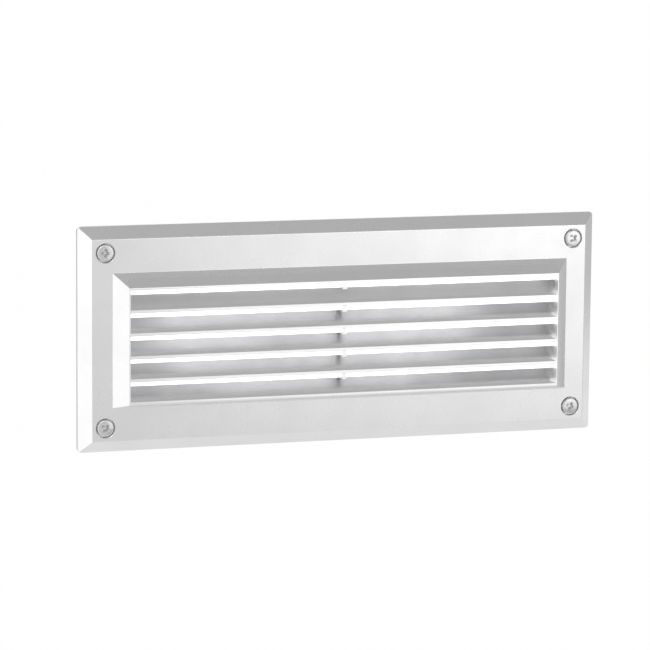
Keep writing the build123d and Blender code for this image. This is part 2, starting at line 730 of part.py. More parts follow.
def bend_radii(points):
    """A radius for each corner of a route, as large as its two runs allow."""
    radii = []
    for before, corner, after in zip(points, points[1:], points[2:]):
        incoming = Vector(*corner) - Vector(*before)
        outgoing = Vector(*after) - Vector(*corner)
        half_turn = radians(incoming.get_angle(outgoing)) / 2
        radii.append(0.45 * min(incoming.length, outgoing.length) / tan(half_turn))
    return radii


def lead(name, radius, points):
    """A round lead along straight runs joined by tangent arcs."""
    radii = bend_radii(points)
    path = FilletPolyline(*points, radius=radii)
    start = Plane(origin=points[0], z_dir=path % 0)
    tube = sweep(start * Circle(radius), path=path)
    expected = pi * radius ** 2 * path.length
    corners = " ".join(f"{bend:.1f}" for bend in radii)
    print(f"{name}: length {path.length:.1f}, bends {corners}, volume ratio {tube.volume / expected:.4f}")
    return tube


def mains_route(z, hump):
    """From the driver's right end to the terminal block, over a small slack hump."""
    gap = terminal_left - driver_right
    return [
        (driver_right - DRIVER_ENTRY, lead_y, z),
        (driver_right + gap * 0.15, lead_y, z),
        (driver_right + gap * 0.5, lead_y - hump, z),
        (driver_right + gap * 0.85, lead_y, z),
        (terminal_left + TERMINAL_ENTRY, lead_y, z),
    ]


def earth_route():
    """From the lug up to the lowest pole of the terminal block."""
    x, y, z = lug_end()
    return [
        (x, y, z),
        (x, y, pole_heights()[0]),
        (terminal_left + TERMINAL_ENTRY, y, pole_heights()[0]),
    ]


def led_route(z):
    """From the driver's left end, forward through the grommet, to the board's connector."""
    connector_y = board_front_y - CONNECTOR_HEIGHT / 2
    return [
        (driver_left + DRIVER_ENTRY, lead_y, z),
        (grommet_x, lead_y, z),
        (grommet_x, connector_y, z),
        (connector_x + CONNECTOR_ENTRY, connector_y, z),
    ]


def build_parts():
    """Every node, by name."""
    parts = {"louvre_cover": louvre_cover()}
    for number, (x, z) in enumerate(four_places(screw_x, screw_z), start=1):
        parts[f"cover_screw_{number}"] = cover_screw(x, z, SCREW_TURNS[number - 1])
        parts[f"screw_washer_{number}"] = screw_washer(x, z)
    parts["lens"] = lens()
    parts["lens_gasket"] = lens_gasket()
    parts["lens_clips"] = Compound(children=[lens_clip(*place) for place in clip_places()])
    clip_seat = lens_back_y + CLIP_THICKNESS
    parts["lens_clip_screws"] = Compound(children=[
        rear_screw(M3_RADIUS, M3_HEAD_RADIUS, M3_HEAD_HEIGHT, CLIP_SCREW_LENGTH, clip_seat, x, z)
        for x, z, _ in clip_places()
    ])
    parts["cover_gasket"] = cover_gasket()
    parts["back_box"] = back_box()
    parts["conduit_plug"] = conduit_plug()
    parts["reflector_tray"] = reflector_tray()
    parts["tray_screws"] = Compound(children=[
        small_screw(M4_RADIUS, SCREW_HEAD_RADIUS, SCREW_HEAD_HEIGHT, TRAY_SCREW_LENGTH, tray_front_y, x, z)
        for x, z in four_places(tray_screw_x, tray_screw_z)
    ])
    parts["thermal_pad"] = thermal_pad()
    parts["led_board"] = led_board()
    parts["led_chips"] = led_chips()
    parts["board_connector"] = board_connector()
    parts["board_screws"] = Compound(children=[
        small_screw(M3_RADIUS, M3_HEAD_RADIUS, M3_HEAD_HEIGHT, BOARD_SCREW_LENGTH, board_front_y, x, z)
        for x, z in four_places(board_screw_x, board_screw_z)
    ])
    parts["lead_grommet"] = lead_grommet()
    parts["led_driver"] = led_driver()
    ear_seat = pad_y - EAR_THICKNESS
    parts["driver_screws"] = Compound(children=[
        small_screw(M3_RADIUS, M3_HEAD_RADIUS, M3_HEAD_HEIGHT, DRIVER_SCREW_LENGTH, ear_seat, x, 0.0)
        for x in (DRIVER_X - driver_ear_x, DRIVER_X + driver_ear_x)
    ])
    parts["terminal_block"] = terminal_block()
    parts["terminal_screws"] = terminal_screws()
    fixing_length = TERMINAL_HEIGHT + TERMINAL_SCREW_SPARE
    parts["terminal_fixing_screws"] = Compound(children=[
        small_screw(M3_RADIUS, M3_HEAD_RADIUS, M3_HEAD_HEIGHT, fixing_length, terminal_y, terminal_x, z)
        for z in terminal_fixings()
    ])
    parts["earth_lug"] = earth_lug()
    lug_front = earth_y - LUG_THICKNESS
    parts["earth_screw"] = small_screw(
        M4_RADIUS, LUG_RADIUS, SCREW_HEAD_HEIGHT, EARTH_SCREW_LENGTH, lug_front, earth_x, earth_z
    )
    _, neutral_z, live_z = pole_heights()
    parts["live_lead"] = lead("live_lead", MAINS_LEAD_RADIUS, mains_route(live_z, LEAD_HUMP))
    parts["neutral_lead"] = lead("neutral_lead", MAINS_LEAD_RADIUS, mains_route(neutral_z, LEAD_HUMP * 0.8))
    parts["earth_lead"] = lead("earth_lead", MAINS_LEAD_RADIUS, earth_route())
    parts["led_lead_positive"] = lead("led_lead_positive", LED_LEAD_RADIUS, led_route(LED_LEAD_HALF_GAP))
    parts["led_lead_negative"] = lead("led_lead_negative", LED_LEAD_RADIUS, led_route(-LED_LEAD_HALF_GAP))
    return parts


os.makedirs("parts", exist_ok=True)
for name, shape in build_parts().items():
    export_step(shape, f"parts/{name}.step")
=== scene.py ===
import json
import math

import bmesh
import bpy
from mathutils import Matrix, Vector

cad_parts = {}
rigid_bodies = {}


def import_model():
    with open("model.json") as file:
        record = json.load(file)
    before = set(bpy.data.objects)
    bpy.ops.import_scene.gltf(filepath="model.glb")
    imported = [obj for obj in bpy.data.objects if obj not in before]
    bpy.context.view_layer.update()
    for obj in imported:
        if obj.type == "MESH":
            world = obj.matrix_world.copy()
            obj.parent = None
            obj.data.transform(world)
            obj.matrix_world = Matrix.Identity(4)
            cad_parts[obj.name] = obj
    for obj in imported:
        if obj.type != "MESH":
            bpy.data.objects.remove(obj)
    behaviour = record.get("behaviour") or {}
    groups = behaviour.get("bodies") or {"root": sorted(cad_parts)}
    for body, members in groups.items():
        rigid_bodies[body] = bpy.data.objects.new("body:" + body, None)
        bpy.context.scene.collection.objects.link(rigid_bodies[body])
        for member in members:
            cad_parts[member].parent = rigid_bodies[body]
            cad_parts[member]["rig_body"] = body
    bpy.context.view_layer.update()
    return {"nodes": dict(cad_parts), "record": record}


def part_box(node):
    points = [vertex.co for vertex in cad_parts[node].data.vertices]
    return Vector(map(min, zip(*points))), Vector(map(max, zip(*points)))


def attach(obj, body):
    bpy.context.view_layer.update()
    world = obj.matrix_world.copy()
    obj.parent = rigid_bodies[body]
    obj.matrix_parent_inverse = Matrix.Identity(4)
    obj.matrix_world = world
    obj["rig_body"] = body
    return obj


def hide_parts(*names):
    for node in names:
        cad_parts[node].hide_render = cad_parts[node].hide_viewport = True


# The looks of a recessed step light, in metres: X along the cover, +Y into the wall, +Z up.

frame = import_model()
nodes = frame["nodes"]

# The camera, from a fit of the photograph's corners and screws
IMAGE_SIZE = 650
FOCAL_PIXELS = 3500.0
SENSOR_MM = 36.0
CAMERA_YAW = math.radians(18.274)
CAMERA_PITCH = math.radians(8.386)
CAMERA_ROLL = math.radians(0.489)
CAMERA_DISTANCE = 1.64768
AIM_RIGHT = 0.006337
AIM_UP = 0.00202
CLIP_NEAR = 0.05
CLIP_FAR = 50.0

# Cover screws: pan heads with a cross recess and a 0.7 mm thread
SCREW_TURNS = (4.0, 45.0, 38.0, 24.0)
SCREW_SIDES = 48
HEAD_RADIUS = 0.004
HEAD_HEIGHT = 0.0024
HEAD_ROUND = 0.0009
HEAD_ROUND_STEPS = 6
HEAD_CROWN = 0.00012
HEAD_CROWN_SHARES = (0.02, 0.5, 0.8, 0.93)
UNDERSIDE_BEVEL = 0.00015
SHANK_RADIUS = 0.002
THREAD_DEPTH = 0.00036
THREAD_PITCH = 0.0007
THREAD_STEPS = 6
THREAD_FLANK = 2.6
THREAD_FLAT = 0.2
NECK_LENGTH = 0.0006
POINT_LENGTH = 0.0006
RECESS_ARM = 0.0021
RECESS_HALF_WIDTH = 0.00045
RECESS_CORNER = 0.0008
RECESS_DEPTH = 0.0015
RECESS_TAPER = 0.45
RECESS_SPARE = 0.0003

# Light-emitting packages
CHIP_EDGE = 0.0001
CHIP_FRAME = 0.0006
CHIP_SINK = 0.0003
CHIP_WINDOW_ROUND = 0.0009
CHIP_ROUND_STEPS = 3

# Driver case: a seam round the lid and a sunk plain field
SEAM_DEPTH = 0.0004
SEAM_WIDTH = 0.0005
SEAM_SETBACK = 0.006
FIELD_LENGTH = 0.07
FIELD_HEIGHT = 0.02
FIELD_SINK = 0.0003
CUTTER_SPARE = 0.002

# Conduit thread. The ridge's section is in shares of its width, along, and its height, inward.
# Its width and its setback are in pitches, and it fades in and out over a part of a turn.
ENTRY_RADIUS = 0.00958
ENTRY_PITCH = 0.0015
ENTRY_RIDGE = 0.0004
ENTRY_SIDES = 64
ENTRY_SECTION = ((-0.5, 0.0), (-0.12, 1.0), (0.12, 1.0), (0.5, 0.0))
ENTRY_SECTION_WIDTH = 0.8
ENTRY_SETBACK_PITCHES = 0.6
ENTRY_FADE_TURNS = 0.5
ENTRY_LEAST_HEIGHT = 0.02
ENTRY_WALL_REACH = 0.02

# Meshes: how near two points are one, and the angles in degrees that stay sharp
WELD_DISTANCE = 1e-6
SEAM_WELD_DISTANCE = 1e-7
CUTTER_ANGLE = 30.0
MOULDED_ANGLE = 35.0
SCREW_ANGLE = 40.0
THREAD_ANGLE = 50.0

# Light in the lens: two bright zones, a lit middle and quieter ends, bottom and back
LAMP_X = 0.062
LIT_CENTRE = -0.011
LAMP_SPREAD = 0.028
LIT_FROM = 0.09
LIT_FULL = 0.066
LIT_BOTTOM_Z = 0.0
LIT_BOTTOM_LOSS = 1.4
END_GLOW = 1.5
MIDDLE_GLOW = 2.5
LAMP_GLOW = 2.8
BACK_GLOW_SHARE = 0.12
GLASS_INDEX = 1.5

# The cover's finish. The zones are half sizes of the louvre opening and the rim, and the depths
# between which the finish of the front gives way to the cast skin inside, whose dark tone on the
# opening's side walls is painted shade.
OPENING_HALF_LENGTH = 0.1053
OPENING_HALF_HEIGHT = 0.0285
RIM_HALF_LENGTH = 0.1255
RIM_HALF_HEIGHT = 0.051
ZONE_EDGE = 0.0004
WALL_CAST_SHADE_FROM_Y = -0.0125
WALL_CAST_SHADE_FULL_Y = -0.0095

# Which way a surface faces: the range of its normal's Y or Z over which its look changes
BEHIND_Y = (0.15, 0.45)
SIDEWAYS_Y = (-0.4, -0.1)
# The next three ranges: a painted highlight on the edges and lips, and painted shade on the
# ceilings.
EDGE_HIGHLIGHT_Y = (-0.5, -0.1)
LIP_HIGHLIGHT_Y = (-0.98, -0.9)
CEILING_SHADE_Z = (-0.95, -0.7)
HEAD_TURNED_Y = (-0.985, -0.9)
LENS_BACK_Y = (0.1, 0.6)

# How much of the cast skin's look each surface has, and what each look adds to the roughness; in
# the opening the cast skin's dark tone is painted shade
WALL_CAST_AND_SHADE_SHARE = 0.3
CEILING_CAST_AND_SHADE_SHARE = 0.48
CAST_ROUGHNESS = 0.34
EDGE_ROUGHNESS = 0.2
OPENING_ROUGHNESS = -0.09

# The cover's and the screws' gray levels and roughness, each from one end of a noise to the other
FACE_TONE = (0.84, 0.87)
# The highlight tone is a painted highlight on the cover's lips and edges.
PAINTED_HIGHLIGHT_TONE = (0.95, 0.98)
COVER_POLISH = (0.29, 0.26)
HEAD_FLAT_TONE = (0.7, 0.78)
# The heads' round tone is painted shade, and their side tone a painted highlight.
HEAD_ROUND_SHADE_TONE = (0.68, 0.74)
HEAD_SIDE_HIGHLIGHT_TONE = (0.93, 0.97)
HEAD_FLAT_ROUGHNESS = 0.15
HEAD_TURNED_ROUGHNESS = 0.5

# Relief: noise cells to a metre, heights in metres, and speck sizes as a share of their spacing
FACE_GRAIN_SCALE = 2400.0
FACE_GRAIN_HEIGHT = 0.000003
CAST_GRAIN_SCALE = 900.0
CAST_GRAIN_HEIGHT = 0.00006
SPECK_SCALE = 42.0
SPECK_SIZE = 0.016
SPECK_HEIGHT = 0.000015
PIT_SCALE = 210.0
PIT_SIZE = 0.1

# How a plain look varies with its noise: the roughness at each end, and the darker colour
CAST_ROUGHNESS_SHARES = (1.04, 0.96)
METAL_ROUGHNESS_SHARES = (1.2, 0.85)
MOULDED_ROUGHNESS_SHARES = (1.1, 0.92)
METAL_DARK_SHARE = 0.86

# Noise lies mostly between these values
NOISE_LOW = 0.35
NOISE_HIGH = 0.65

# Studio. A card is its name, centre, width, height and strength, and a lamp its name, centre,
# size and watts.
FLOOR_Z = -1.0
FLOOR_HALF_SIZE = 12.0
FLOOR_WHITE_SHARE = 0.985
WORLD_LEVEL = 0.75
CARDS = (
    ("card_above", (0.3, -0.1, 0.9), 2.0, 1.6, 0.475),
    ("card_left", (-0.66, -0.22, -0.1), 0.5, 0.6, 1.18),
    ("card_left_behind", (-0.24, 0.66, -0.1), 0.5, 0.5, 0.56),
    ("card_right_behind", (0.75, 0.3, 0.13), 0.7, 0.5, 0.54),
    ("card_right_low", (0.75, 0.3, -0.32), 0.7, 0.4, 0.9),
    ("card_right", (0.66, -0.22, -0.1), 0.35, 0.6, 0.5),
    ("card_below", (0.06, 0.04, -0.33), 1.1, 0.6, 0.83),
    ("card_front_left", (-0.2, -0.5, 0.0), 0.6, 0.8, 0.69),
    ("card_front_top", (0.22, -0.55, 0.4), 1.2, 0.24, 1.5),
    ("card_front_right", (0.42, -0.5, 0.12), 0.45, 0.4, 1.32),
    ("card_front_low", (0.3, -0.5, -0.36), 1.2, 0.4, 0.5),
    ("card_high_left", (-0.46, -0.26, 0.6), 0.4, 0.4, 3.0),
)
LAMPS = (
    ("lamp_left", (-1.2, -0.9, 0.7), 0.9, 14.0),
    ("lamp_right", (1.0, -1.4, 0.6), 0.9, 10.0),
)

screws = [f"cover_screw_{number}" for number in range(1, 5)]
washers = [f"screw_washer_{number}" for number in range(1, 5)]


def make_camera():
    """The photograph's view."""
    back = Vector((
        -math.sin(CAMERA_YAW) * math.cos(CAMERA_PITCH),
        -math.cos(CAMERA_YAW) * math.cos(CAMERA_PITCH),
        math.sin(CAMERA_PITCH),
    ))
    level_right = (-back).cross(Vector((0, 0, 1))).normalized()
    level_up = level_right.cross(-back)
    right = level_right * math.cos(CAMERA_ROLL) + level_up * math.sin(CAMERA_ROLL)
    up = level_up * math.cos(CAMERA_ROLL) - level_right * math.sin(CAMERA_ROLL)
    data = bpy.data.cameras.new("camera")
    data.sensor_width = SENSOR_MM
    data.lens = FOCAL_PIXELS / IMAGE_SIZE * SENSOR_MM
    data.clip_start = CLIP_NEAR
    data.clip_end = CLIP_FAR
    camera = bpy.data.objects.new("camera", data)
    bpy.context.scene.collection.objects.link(camera)
    place = back * CAMERA_DISTANCE - right * AIM_RIGHT + up * AIM_UP
    turned = Matrix((right, up, back)).transposed().to_4x4()
    camera.matrix_world = Matrix.Translation(place) @ turned
    bpy.context.scene.camera = camera


# Materials

class Nodes:
    """A small helper round one node tree."""

    def __init__(self, tree):
        self.tree = tree

    def add(self, kind, values=None, **settings):
        """A new node with its own settings and the plain values of its sockets."""
        node = self.tree.nodes.new(kind)
        for name, value in settings.items():
            setattr(node, name, value)
        for socket, value in (values or {}).items():
            node.inputs[socket].default_value = value
        return node

    def link(self, source, target):
        """Joins an output to an input."""
        self.tree.links.new(source, target)


def principled(name, color, roughness, metallic=0.0):
    """A material with one Principled shader whose plain numbers are set on its own sockets."""
    material = bpy.data.materials.new(name)
    material.use_nodes = True
    tools = Nodes(material.node_tree)
    shader = material.node_tree.nodes["Principled BSDF"]
    shader.inputs["Base Color"].default_value = (*color, 1.0)
    shader.inputs["Roughness"].default_value = roughness
    shader.inputs["Metallic"].default_value = metallic
    return material, tools, shader


def along_axes(tools, kind):
    """The X, Y and Z of the object's own coordinates: its Object place, or its Normal."""
    place = tools.add("ShaderNodeTexCoord")
    split = tools.add("ShaderNodeSeparateXYZ")
    tools.link(place.outputs[kind], split.inputs["Vector"])
    return split.outputs


def object_noise(tools, scale, detail=3.0, stretch=(1.0, 1.0, 1.0)):
    """Noise in the object's own metres."""
    place = tools.add("ShaderNodeTexCoord")
    mapping = tools.add("ShaderNodeMapping")
    mapping.inputs["Scale"].default_value = stretch
    noise = tools.add("ShaderNodeTexNoise", {"Scale": scale, "Detail": detail, "Roughness": 0.6})
    tools.link(place.outputs["Object"], mapping.inputs["Vector"])
    tools.link(mapping.outputs["Vector"], noise.inputs["Vector"])
    return noise.outputs["Fac"]


def specks(tools, scale, size):
    """Sparse round specks: 1 in a speck and 0 elsewhere, their size a share of their spacing."""
    place = tools.add("ShaderNodeTexCoord")
    cells = tools.add("ShaderNodeTexVoronoi", {"Scale": scale, "Randomness": 1.0})
    tools.link(place.outputs["Object"], cells.inputs["Vector"])
    return ranged(tools, cells.outputs["Distance"], 1.0, 0.0, size * 0.6, size * 1.4)


def ranged(tools, source, low, high, from_low=NOISE_LOW, from_high=NOISE_HIGH):
    """A value stretched from one range to another."""
    node = tools.add("ShaderNodeMapRange", {
        "From Min": from_low, "From Max": from_high, "To Min": low, "To Max": high,
    })
    tools.link(source, node.inputs["Value"])
    return node.outputs["Result"]


def smooth_step(tools, source, from_low, from_high, low=0.0, high=1.0):
    """A value eased from one range to another."""
    node = tools.add("ShaderNodeMapRange", {
        "From Min": from_low, "From Max": from_high, "To Min": low, "To Max": high,
    }, interpolation_type="SMOOTHSTEP")
    tools.link(source, node.inputs["Value"])
    return node.outputs["Result"]


def combined(tools, operation, first, second=0.0):
    """Two values, each an output or a number, put through one operation."""
    node = tools.add("ShaderNodeMath", operation=operation)
    for index, source in enumerate((first, second)):
        if isinstance(source, (int, float)):
            node.inputs[index].default_value = source
        else:
            tools.link(source, node.inputs[index])
    return node.outputs["Value"]


def colored(tools, source, first, second):
    """A colour that moves between two colours with a noise."""
    ramp = tools.add("ShaderNodeValToRGB")
    ramp.color_ramp.elements[0].position = NOISE_LOW
    ramp.color_ramp.elements[0].color = (*first, 1.0)
    ramp.color_ramp.elements[1].position = NOISE_HIGH
    ramp.color_ramp.elements[1].color = (*second, 1.0)
    tools.link(source, ramp.inputs["Fac"])
    return ramp.outputs["Color"]


def gray(tools, source, levels):
    """A gray that moves between two levels with a noise."""
    first, second = levels
    return colored(tools, source, (first, first, first), (second, second, second))


def vary_roughness(tools, shader, source, roughness, shares):
    """A roughness that moves between two shares of its plain value with a noise."""
    low, high = (roughness * share for share in shares)
    tools.link(ranged(tools, source, low, high), shader.inputs["Roughness"])


def mixed_color(tools, share, first, second):
    """One colour output blended into another."""
    node = tools.add("ShaderNodeMix", data_type="RGBA")
    tools.link(share, node.inputs["Factor"])
    tools.link(first, node.inputs["A"])
    tools.link(second, node.inputs["B"])
    return node.outputs["Result"]


def add_bump(tools, shader, source, distance, below=None):
    """A bump of a real height in metres, over another bump if one is given."""
    bump = tools.add("ShaderNodeBump", {"Distance": distance, "Strength": 1.0})
    tools.link(source, bump.inputs["Height"])
    if below is not None:
        tools.link(below, bump.inputs["Normal"])
    tools.link(bump.outputs["Normal"], shader.inputs["Normal"])
    return bump.outputs["Normal"]


def within(tools, where, half_length, half_height):
    """1 inside a rectangle round the middle of the cover, and 0 outside it."""
    sides = []
    for axis, half in (("X", half_length), ("Z", half_height)):
        size = combined(tools, "ABSOLUTE", where[axis])
        sides.append(smooth_step(tools, size, half, half + ZONE_EDGE, 1.0, 0.0))
    return combined(tools, "MULTIPLY", *sides)


def cover_material():
    """Satin cast metal: finished in front, as cast behind, partly so on the louvres' walls, with a
    dark tone of painted shade on the blades' undersides and the opening's walls and ceilings, and
    painted highlights on the lips and edges.
    """
    material, tools, shader = principled("satin_cast", (0.86, 0.86, 0.86), 0.28, 1.0)
    facing = along_axes(tools, "Normal")
    where = along_axes(tools, "Object")
    slow = object_noise(tools, 45.0, 4.0)

    # Where the cast skin shows: all of the back, and a share of the opening's walls and ceilings.
    # Its dark tone is painted shade on the blades' undersides and in the opening.
    opening = within(tools, where, OPENING_HALF_LENGTH, OPENING_HALF_HEIGHT)
    behind = smooth_step(tools, facing["Y"], *BEHIND_Y)
    inside = smooth_step(tools, where["Y"], WALL_CAST_SHADE_FROM_Y, WALL_CAST_SHADE_FULL_Y)
    side_wall_shade = smooth_step(tools, facing["Y"], *SIDEWAYS_Y, 0.0, WALL_CAST_AND_SHADE_SHARE)
    side_wall_shade = combined(tools, "MULTIPLY", side_wall_shade, inside)
    ceiling_shade = smooth_step(tools, facing["Z"], *CEILING_SHADE_Z, CEILING_CAST_AND_SHADE_SHARE, 0.0)
    walls = combined(tools, "MAXIMUM", side_wall_shade, ceiling_shade)
    cast_skin_and_shade = combined(tools, "MAXIMUM", behind, combined(tools, "MULTIPLY", walls, opening))

    # Painted highlights, a tone brighter than the faces: the blades' lips, and edges that turn away
    # inside the rim
    lips = smooth_step(tools, facing["Y"], *LIP_HIGHLIGHT_Y, 1.0, 0.0)
    lips = combined(tools, "MULTIPLY", lips, opening)
    rim = within(tools, where, RIM_HALF_LENGTH, RIM_HALF_HEIGHT)
    edges = combined(tools, "MULTIPLY", smooth_step(tools, facing["Y"], *EDGE_HIGHLIGHT_Y), rim)

    finished = mixed_color(
        tools, combined(tools, "MAXIMUM", lips, edges),
        gray(tools, slow, FACE_TONE), gray(tools, slow, PAINTED_HIGHLIGHT_TONE),
    )
    # The dark tone: painted shade on the blades' undersides and in the opening, and the cast skin
    # of the back.
    cast_and_shade_tone = colored(tools, slow, (0.27, 0.27, 0.275), (0.31, 0.31, 0.315))
    tools.link(mixed_color(tools, cast_skin_and_shade, finished, cast_and_shade_tone), shader.inputs["Base Color"])

    rough = combined(
        tools, "MAXIMUM",
        combined(tools, "MULTIPLY", cast_skin_and_shade, CAST_ROUGHNESS),
        combined(tools, "MULTIPLY", edges, EDGE_ROUGHNESS),
    )
    smoother = combined(tools, "MULTIPLY", opening, OPENING_ROUGHNESS)
    rough = combined(tools, "ADD", rough, smoother)
    polish = ranged(tools, slow, *COVER_POLISH)
    tools.link(combined(tools, "ADD", polish, rough), shader.inputs["Roughness"])

    fine = object_noise(tools, FACE_GRAIN_SCALE, 2.0)
    grain = add_bump(tools, shader, fine, FACE_GRAIN_HEIGHT)
    coarse = combined(tools, "MULTIPLY", object_noise(tools, CAST_GRAIN_SCALE), cast_skin_and_shade)
    skin = add_bump(tools, shader, coarse, CAST_GRAIN_HEIGHT, grain)
    add_bump(tools, shader, specks(tools, SPECK_SCALE, SPECK_SIZE), SPECK_HEIGHT, skin)
    return material


def cast_metal(name, color, dark, roughness, grain, grain_height, pit_depth):
    """Raw cast metal: sandy grain, slow changes of gloss and small pits."""
    material, tools, shader = principled(name, color, roughness, 1.0)
    slow = object_noise(tools, 60.0, 4.0)
    tools.link(colored(tools, slow, dark, color), shader.inputs["Base Color"])
    vary_roughness(tools, shader, slow, roughness, CAST_ROUGHNESS_SHARES)
    normal = add_bump(tools, shader, object_noise(tools, grain), grain_height)
    hollow = combined(tools, "SUBTRACT", 1.0, specks(tools, PIT_SCALE, PIT_SIZE))
    add_bump(tools, shader, hollow, pit_depth, normal)
    return material


def plain_metal(name, color, roughness, grain=900.0, height=0.000004, stretch=(1.0, 1.0, 1.0)):
    """Rolled, turned or plated metal with fine marks."""
    material, tools, shader = principled(name, color, roughness, 1.0)
    marks = object_noise(tools, grain, stretch=stretch)
    dark = tuple(value * METAL_DARK_SHARE for value in color)
    tools.link(colored(tools, marks, dark, color), shader.inputs["Base Color"])
    vary_roughness(tools, shader, marks, roughness, METAL_ROUGHNESS_SHARES)
    add_bump(tools, shader, marks, height)
    return material


def screw_material():
    """Plated steel: bright and smooth on the flat of the head, satin where it turns down, with
    painted shade on the rounding and a painted highlight on the sides and shank.
    """
    material, tools, shader = principled("screw_steel", (0.76, 0.76, 0.76), 0.16, 1.0)
    facing = along_axes(tools, "Normal")
    turned = smooth_step(tools, facing["Y"], *HEAD_TURNED_Y)
    sides = smooth_step(tools, facing["Y"], *SIDEWAYS_Y)
    marks = object_noise(tools, 1500.0)
    flat = gray(tools, marks, HEAD_FLAT_TONE)
    # Painted shade: the rounding's darker tone. Painted highlight: the lighter tone of the sides
    # and shank.
    rounding_shade = gray(tools, marks, HEAD_ROUND_SHADE_TONE)
    edge = mixed_color(tools, sides, rounding_shade, gray(tools, marks, HEAD_SIDE_HIGHLIGHT_TONE))
    tools.link(mixed_color(tools, turned, flat, edge), shader.inputs["Base Color"])
    rough = ranged(tools, turned, HEAD_FLAT_ROUGHNESS, HEAD_TURNED_ROUGHNESS, 0.0, 1.0)
    tools.link(rough, shader.inputs["Roughness"])
    add_bump(tools, shader, marks, 0.000002)
    return material


def moulded(name, color, roughness, grain=1400.0, height=0.00002, spread=0.92):
    """Moulded plastic or rubber with a spark-textured surface."""
    material, tools, shader = principled(name, color, roughness)
    slow = object_noise(tools, 90.0, 4.0)
    dark = tuple(value * spread for value in color)
    tools.link(colored(tools, slow, dark, color), shader.inputs["Base Color"])
    vary_roughness(tools, shader, slow, roughness, MOULDED_ROUGHNESS_SHARES)
    add_bump(tools, shader, object_noise(tools, grain, 2.0), height)
    return material


def lens_material():
    """Frosted glass lit from behind, brightest in front of the two groups of chips."""
    material, tools, shader = principled("frosted_lens", (0.8, 0.81, 0.81), 0.45)
    shader.inputs["IOR"].default_value = GLASS_INDEX
    where = along_axes(tools, "Object")
    facing = along_axes(tools, "Normal")
    along = combined(tools, "SUBTRACT", where["X"], LIT_CENTRE)
    along = combined(tools, "ABSOLUTE", along)
    from_lamp = combined(tools, "ABSOLUTE", combined(tools, "SUBTRACT", along, LAMP_X))
    below = combined(tools, "MAXIMUM", combined(tools, "SUBTRACT", LIT_BOTTOM_Z, where["Z"]), 0.0)
    reach = combined(tools, "ADD", along, combined(tools, "MULTIPLY", below, LIT_BOTTOM_LOSS))
    lit = smooth_step(tools, reach, LIT_FULL, LIT_FROM, MIDDLE_GLOW, END_GLOW)
    peak = smooth_step(tools, from_lamp, 0.0, LAMP_SPREAD, LAMP_GLOW - MIDDLE_GLOW, 0.0)
    cloud = ranged(tools, object_noise(tools, 700.0, 2.0), 0.97, 1.03)
    front_share = smooth_step(tools, facing["Y"], *LENS_BACK_Y, 1.0, BACK_GLOW_SHARE)
    cloud = combined(tools, "MULTIPLY", cloud, front_share)
    strength = combined(tools, "MULTIPLY", combined(tools, "ADD", lit, peak), cloud)
    tools.link(strength, shader.inputs["Emission Strength"])
    shader.inputs["Emission Color"].default_value = (1.0, 1.0, 1.0, 1.0)
    add_bump(tools, shader, object_noise(tools, 2600.0, 2.0), 0.00001)
    return material


def board_material():
    """White solder mask over copper areas, whose edges stand up a little."""
    material, tools, shader = principled("white_mask", (0.84, 0.85, 0.84), 0.32)
    place = tools.add("ShaderNodeTexCoord")
    mapping = tools.add("ShaderNodeMapping")
    mapping.inputs["Rotation"].default_value = (math.radians(90.0), 0.0, 0.0)
    tracks = tools.add("ShaderNodeTexBrick", offset=0.0, values={
        "Scale": 64.0,
        "Mortar Size": 0.012,
        "Mortar Smooth": 0.3,
        "Brick Width": 1.1,
        "Row Height": 0.62,
        "Color1": (0.78, 0.8, 0.79, 1.0),
        "Color2": (0.81, 0.82, 0.81, 1.0),
        "Mortar": (0.7, 0.73, 0.71, 1.0),
    })
    tools.link(place.outputs["Object"], mapping.inputs["Vector"])
    tools.link(mapping.outputs["Vector"], tracks.inputs["Vector"])
    tools.link(tracks.outputs["Color"], shader.inputs["Base Color"])
    copper = add_bump(tools, shader, tracks.outputs["Fac"], -0.00003)
    add_bump(tools, shader, object_noise(tools, 800.0), 0.000004, copper)
    return material


def phosphor_material():
    """The yellow-white window of a lit package."""
    material, tools, shader = principled("phosphor", (0.9, 0.72, 0.3), 0.35)
    grains = object_noise(tools, 5000.0, 2.0)
    yellow = colored(tools, grains, (0.86, 0.66, 0.24), (0.92, 0.78, 0.4))
    tools.link(yellow, shader.inputs["Base Color"])
    shader.inputs["Emission Color"].default_value = (1.0, 0.93, 0.72, 1.0)
    tools.link(ranged(tools, grains, 0.75, 0.95), shader.inputs["Emission Strength"])
    add_bump(tools, shader, grains, 0.00001)
    return material


def dress(material, *names):
    """Gives CAD nodes a material in place of their own."""
    for name in names:
        node = nodes[name]
        node.data.materials.clear()
        node.data.materials.append(material)


